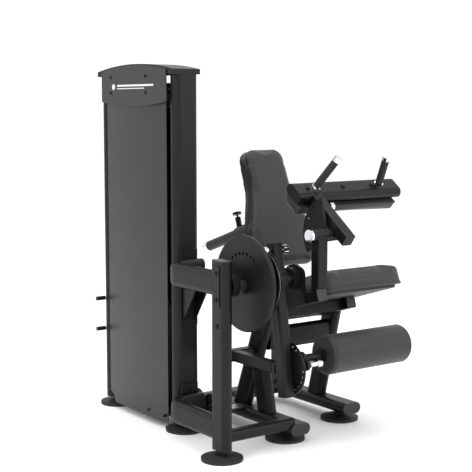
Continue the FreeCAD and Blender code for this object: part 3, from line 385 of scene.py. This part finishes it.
def shaft_nuts():
    """Hex nut and washer on the far end of the knee shaft."""
    nut_r = 20 * MM
    nut = 5 * MM
    washer_r = 24 * MM
    washer = 3 * MM
    low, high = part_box("knee_shaft")
    middle = (low + high) / 2
    bm = bmesh.new()
    way = Vector((0, 1, 0))
    add_prism(bm, Vector((middle.x, high.y - washer, middle.z)), way, washer_r, washer, 40)
    add_prism(bm, Vector((middle.x, high.y, middle.z)), way, nut_r, nut, 6)
    put(object_from(bm, "knee_shaft_nut", "chrome"), "knee_cam")


def back_tube_cap():
    """Chrome cap pressed on the rear end of the backrest tube, standing a little proud of it."""
    proud = 1 * MM
    cap_r = 26.5 * MM
    cap = 37 * MM
    points = [v.co for v in frame["nodes"]["back_tube"].data.vertices]
    way = next(Vector(j["axis"]) for j in frame["joints"] if j["name"] == "back_slide").normalized()
    end = min(p.dot(way) for p in points)
    rim = [p for p in points if p.dot(way) < end + 1 * MM]
    low = Vector(min(p[i] for p in rim) for i in range(3))
    high = Vector(max(p[i] for p in rim) for i in range(3))
    centre = (low + high) / 2
    bm = bmesh.new()
    add_prism(bm, centre - way * proud, way, cap_r, cap, 56)
    put(object_from(bm, "back_tube_cap", "chrome"), "back_carriage")


def stack_numbers():
    """White numbers, multiples of five, on the window side of the weight plates."""
    proud = 0.1 * MM
    plates = {"weight_plates_lower": "frame", "weight_plates_upper": "weight_carriage"}
    rows = [(low, high, body) for node, body in plates.items() for low, high in islands(node)]
    rows.sort(key=lambda row: -row[0].z)
    for body in sorted(set(plates.values())):
        bm = bmesh.new()
        for number, (low, high, owner) in enumerate(rows, 1):
            if owner != body:
                continue
            text = bpy.data.curves.new("number", "FONT")
            text.body = str(number * PLATE_STEP)
            text.size = NUMBER_SIZE
            text.extrude = 0.15 * MM
            text.align_x = "CENTER"
            text.align_y = "CENTER"
            written = bpy.data.objects.new("number", text)
            mesh = bpy.data.meshes.new_from_object(written)
            at = Vector(((low.x + high.x) / 2 - NUMBER_ASIDE, high.y + proud, (low.z + high.z) / 2))
            face_window = Matrix.Rotation(math.pi, 4, "Z") @ Matrix.Rotation(math.pi / 2, 4, "X")
            mesh.transform(Matrix.Translation(at) @ face_window)
            bm.from_mesh(mesh)
            bpy.data.meshes.remove(mesh)
            bpy.data.objects.remove(written)
        put(object_from(bm, "plate_numbers_" + body, "white_print"), body)


def plate_emblem():
    """Generic raised mark on the name plate: a disc and two bars."""
    thick = 1.0 * MM
    low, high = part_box("name_plate")
    span = high.x - low.x
    middle = Vector(((low.x + high.x) / 2, low.y, low.z + (high.z - low.z) * 0.48))
    bm = bmesh.new()
    out = Vector((0, -1, 0))
    add_prism(bm, middle - Vector((span * 0.30, 0, 0)), out, 13 * MM, thick, 40)
    # start and stop as shares of the plate's length, then height and rise
    bars = ((-0.24, 0.32, 8 * MM, 5 * MM), (-0.24, 0.18, 4 * MM, -8 * MM))
    for start, stop, height, rise in bars:
        size = Vector((span * (stop - start), thick, height))
        at = middle + Vector((span * (start + stop) / 2, -thick / 2, rise))
        bmesh.ops.create_cube(bm, size=1.0, matrix=Matrix.Translation(at) @ Matrix.Diagonal((*size, 1)))
    put(object_from(bm, "plain_emblem", "white_print"), "frame")


def grip_sleeves():
    """Ribbed rubber hand grips over the bars, between the fittings at their ends."""
    lower_fitting = 7.5 * MM
    both_fittings = 18.5 * MM
    bm = bmesh.new()
    rings = islands("handle_fittings")
    rings.sort(key=lambda pair: ((pair[0] + pair[1]).y, (pair[0] + pair[1]).z))
    for pair in (rings[:2], rings[2:]):
        middles = sorted(((low + high) / 2 for low, high in pair), key=lambda p: p.z)
        way = (middles[1] - middles[0]).normalized()
        start = middles[0] + way * lower_fitting
        length = (middles[1] - middles[0]).length - both_fittings
        step = length / GRIP_RIBS
        for k in range(GRIP_RIBS):
            at = start + way * step * k
            add_prism(bm, at, way, GRIP_GROOVE_R, step * 0.5, 36, top=GRIP_RIB_R)
            add_prism(bm, at + way * step * 0.5, way, GRIP_RIB_R, step * 0.5, 36, top=GRIP_GROOVE_R)
    put(object_from(bm, "ribbed_grips", "rubber", 20), "thigh_frame", ["handle_grips"])


# ---- cushions ----------------------------------------------------------------------------
def settle(made, way, base):
    """Vertex places after the pad is blown up: the part that base picks is held, the rest swells."""
    held = made.vertex_groups.new(name="held")
    floor = min(v.co.dot(way) for v in made.data.vertices)
    held.add([v.index for v in made.data.vertices if base(v.co, floor)], 1.0, "REPLACE")
    cloth = made.modifiers.new("swell", "CLOTH")
    cloth.settings.quality = 5
    cloth.settings.mass = 0.4
    cloth.settings.tension_stiffness = 25
    cloth.settings.compression_stiffness = 25
    cloth.settings.bending_stiffness = 3
    cloth.settings.use_pressure = True
    cloth.settings.uniform_pressure_force = PAD_PRESSURE
    cloth.settings.vertex_group_mass = "held"
    cloth.settings.effector_weights.gravity = 0
    cloth.point_cache.frame_start = 1
    cloth.point_cache.frame_end = PAD_FRAMES
    for step in range(1, PAD_FRAMES + 1):
        bpy.context.scene.frame_set(step)
    graph = bpy.context.evaluated_depsgraph_get()
    swollen = made.evaluated_get(graph).to_mesh()
    moved = [v.co.copy() for v in swollen.vertices]
    made.evaluated_get(graph).to_mesh_clear()
    made.modifiers.clear()
    made.vertex_groups.clear()
    bpy.context.scene.frame_set(1)
    return moved


def soft_pad(node, name, way, base, cap, inset, rounding):
    """Crowned vinyl pad in the place of a CAD cushion; way points out of its board, cap limits swelling."""
    body = BODY_OF[node]
    bm = bmesh.new()
    bm.from_mesh(frame["nodes"][node].data)
    bmesh.ops.remove_doubles(bm, verts=bm.verts, dist=DOUBLES)
    mesh = bpy.data.meshes.new(name)
    bm.to_mesh(mesh)
    bm.free()
    made = bpy.data.objects.new(name, mesh)
    bpy.context.scene.collection.objects.link(made)
    remesh = made.modifiers.new("even", "REMESH")
    remesh.mode = "VOXEL"
    remesh.voxel_size = PAD_VOXEL
    graph = bpy.context.evaluated_depsgraph_get()
    even = bpy.data.meshes.new_from_object(made.evaluated_get(graph))
    made.modifiers.clear()
    made.data = even
    bm = bmesh.new()
    bm.from_mesh(even)
    floor = min(v.co.dot(way) for v in bm.verts)
    free = [v for v in bm.verts if not base(v.co, floor)]
    for _ in range(rounding):
        bmesh.ops.smooth_vert(bm, verts=free, factor=0.5, use_axis_x=True, use_axis_y=True, use_axis_z=True)
    bm.normal_update()
    for v in free:
        v.co -= v.normal * inset
    bm.to_mesh(even)
    bm.free()
    start = [v.co.copy() for v in even.vertices]
    for v, goal in zip(even.vertices, settle(made, way, base)):
        shift = goal - start[v.index]
        if shift.length > cap:
            shift *= cap / shift.length
        v.co = start[v.index] + shift
    relax = bmesh.new()
    relax.from_mesh(even)
    relax.verts.ensure_lookup_table()
    slack = [v for v in relax.verts if not base(v.co, floor)]
    for _ in range(RELAX_PASSES):
        bmesh.ops.smooth_vert(relax, verts=slack, factor=0.5,
                              use_axis_x=True, use_axis_y=True, use_axis_z=True)
    relax.to_mesh(even)
    relax.free()
    even.materials.clear()
    even.materials.append(FINISHES["black_vinyl"])
    even.shade_smooth()
    smooth = made.modifiers.new("smooth", "SUBSURF")
    smooth.levels = 1
    smooth.render_levels = 1
    put(made, body, [node])
    return made


def welt(made, name, body, at, way):
    """Sewn welt cord along the line where a plane cuts the pad."""
    bm = bmesh.new()
    bm.from_mesh(made.data)
    whole = list(bm.verts) + list(bm.edges) + list(bm.faces)
    cut = bmesh.ops.bisect_plane(bm, geom=whole, plane_co=at, plane_no=way)["geom_cut"]
    edges = {e for e in cut if isinstance(e, bmesh.types.BMEdge)}
    loops = []
    while edges:
        first = edges.pop()
        line = [first.verts[0], first.verts[1]]
        grew = True
        while grew:
            grew = False
            for link in line[-1].link_edges:
                if link in edges:
                    edges.remove(link)
                    line.append(link.other_vert(line[-1]))
                    grew = True
                    break
        loops.append([v.co.copy() for v in line])
    bm.free()
    longest = max(loops, key=len)
    sewn = bpy.data.curves.new(name, "CURVE")
    sewn.dimensions = "3D"
    sewn.bevel_depth = WELT_R
    sewn.bevel_resolution = 2
    kept = longest[:-1:3]
    spline = sewn.splines.new("NURBS")
    spline.points.add(len(kept) - 1)
    for point, where in zip(spline.points, kept):
        point.co = (*where, 1.0)
    spline.use_cyclic_u = True
    spline.order_u = 3
    spline.resolution_u = 2
    line = bpy.data.objects.new(name + "_line", sewn)
    bpy.context.scene.collection.objects.link(line)
    graph = bpy.context.evaluated_depsgraph_get()
    mesh = bpy.data.meshes.new_from_object(line.evaluated_get(graph))
    bpy.data.objects.remove(line)
    bm = bmesh.new()
    bm.from_mesh(mesh)
    bmesh.ops.remove_doubles(bm, verts=bm.verts, dist=DOUBLES)
    put(object_from(bm, name, "black_vinyl", 60), body)


def board_side(way):
    """Test that picks the layer lying on the board."""
    return lambda co, floor: co.dot(way) < floor + BOARD_LAYER


def plane_way(node, hint):
    """Normal of a cushion's largest flat face on the side that hint points to."""
    mesh = frame["nodes"][node].data
    best = max(mesh.polygons, key=lambda f: f.area if f.normal.dot(hint) > 0.5 else 0)
    return best.normal.copy()


def cushions():
    """Seat, back and thigh pads, each with its welt."""
    seat_way = plane_way("seat_cushion", Vector((0, 0, 1)))
    back_way = plane_way("back_cushion", Vector((1, 0, 0.4)))
    thigh_way = plane_way("thigh_cushion", Vector((-0.5, 0, -0.8)))
    pads = (
        ("seat_cushion", "seat_pad", seat_way, 12 * MM, 3 * MM, 34, 0.85),
        ("back_cushion", "back_pad", back_way, 9 * MM, 3 * MM, 16, 0.8),
        ("thigh_cushion", "thigh_pad", thigh_way, 6 * MM, 3 * MM, 6, 0.9),
    )
    for node, name, way, cap, inset, rounding, fill in pads:
        made = soft_pad(node, name, way, board_side(way), cap, inset, rounding)
        floor = min(v.co.dot(way) for v in made.data.vertices)
        deep = max(v.co.dot(way) for v in made.data.vertices) - floor
        middle = sum((v.co for v in made.data.vertices), Vector()) / len(made.data.vertices)
        at = middle + way * (floor + deep * WELT_AT - middle.dot(way))
        welt(made, name + "_welt", BODY_OF[node], at, way)


def ankle_roller():
    """Vinyl covered roller with a seam near each end."""
    low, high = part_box("ankle_roller")
    middle = (low + high) / 2

    def near_core(co, floor):
        return math.hypot(co.x - middle.x, co.z - middle.z) < ROLLER_CORE

    made = soft_pad("ankle_roller", "roller_pad", Vector((0, 1, 0)), near_core, 5 * MM, 2 * MM, 4)
    for label, y in (("near", low.y + SEAM_IN), ("far", high.y - SEAM_IN)):
        welt(made, "roller_" + label + "_seam", "roller", Vector((middle.x, y, middle.z)), Vector((0, 1, 0)))


def roller_washers():
    """Chrome retaining washer and cap on the far end of the roller spindle."""
    half_washer = 1.5 * MM
    washer_r = 27 * MM
    cap_r = 15 * MM
    cap = 5 * MM
    cap_top_r = 11 * MM
    low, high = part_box("ankle_roller")
    middle = (low + high) / 2
    bm = bmesh.new()
    way = Vector((0, 1, 0))
    add_prism(bm, Vector((middle.x, high.y - half_washer, middle.z)), way, washer_r, half_washer * 2, 48)
    add_prism(bm, Vector((middle.x, high.y + half_washer, middle.z)), way, cap_r, cap, 48, top=cap_top_r)
    put(object_from(bm, "roller_end_cap", "chrome"), "crank")


# ---- the whole machine -------------------------------------------------------------------
frame_screws()
foot_nuts()
shaft_nuts()
back_tube_cap()
stack_numbers()
plate_emblem()
grip_sleeves()
cushions()
ankle_roller()
roller_washers()


# ---- floor, light and camera -------------------------------------------------------------
def studio():
    """Pale floor, white surroundings, three area lamps and the camera."""
    made, tree = new_material("pale_floor")
    shader = add(tree, "ShaderNodeBsdfPrincipled", None, {
        "Base Color": colour("#fbfbfb"), "Roughness": 0.9, "Specular IOR Level": 0.0})
    close_material(tree, shader)
    bm = bmesh.new()
    bmesh.ops.create_grid(bm, x_segments=1, y_segments=1, size=30)
    mesh = bpy.data.meshes.new("floor")
    bm.to_mesh(mesh)
    bm.free()
    mesh.materials.append(made)
    floor = bpy.data.objects.new("floor", mesh)
    bpy.context.scene.collection.objects.link(floor)

    world = bpy.data.worlds.new("studio")
    world.use_nodes = True
    world.node_tree.nodes["Background"].inputs["Color"].default_value = colour("#ffffff")
    world.node_tree.nodes["Background"].inputs["Strength"].default_value = 1.12
    bpy.context.scene.world = world

    lamps = (
        ("key", (1.5, -4.5, 4.0), 3.0, 110),
        ("fill", (5.0, 2.5, 3.0), 3.0, 60),
        ("top", (0.0, 0.0, 5.0), 4.0, 110),
    )
    for name, at, size, power in lamps:
        lamp = bpy.data.lights.new(name, "AREA")
        lamp.size = size
        lamp.energy = power
        shown = bpy.data.objects.new(name, lamp)
        shown.location = at
        aim = Vector((0, 0, 0.7)) - Vector(at)
        shown.rotation_euler = aim.to_track_quat("-Z", "Y").to_euler()
        bpy.context.scene.collection.objects.link(shown)

    eye = bpy.data.cameras.new("camera")
    eye.lens = CAMERA_LENS
    shown = bpy.data.objects.new("camera", eye)
    shown.location = CAMERA_AT
    shown.rotation_euler = CAMERA_WAY.to_track_quat("-Z", "Y").to_euler()
    bpy.context.scene.collection.objects.link(shown)
    bpy.context.scene.camera = shown
    bpy.context.scene.view_settings.view_transform = "Standard"


studio()
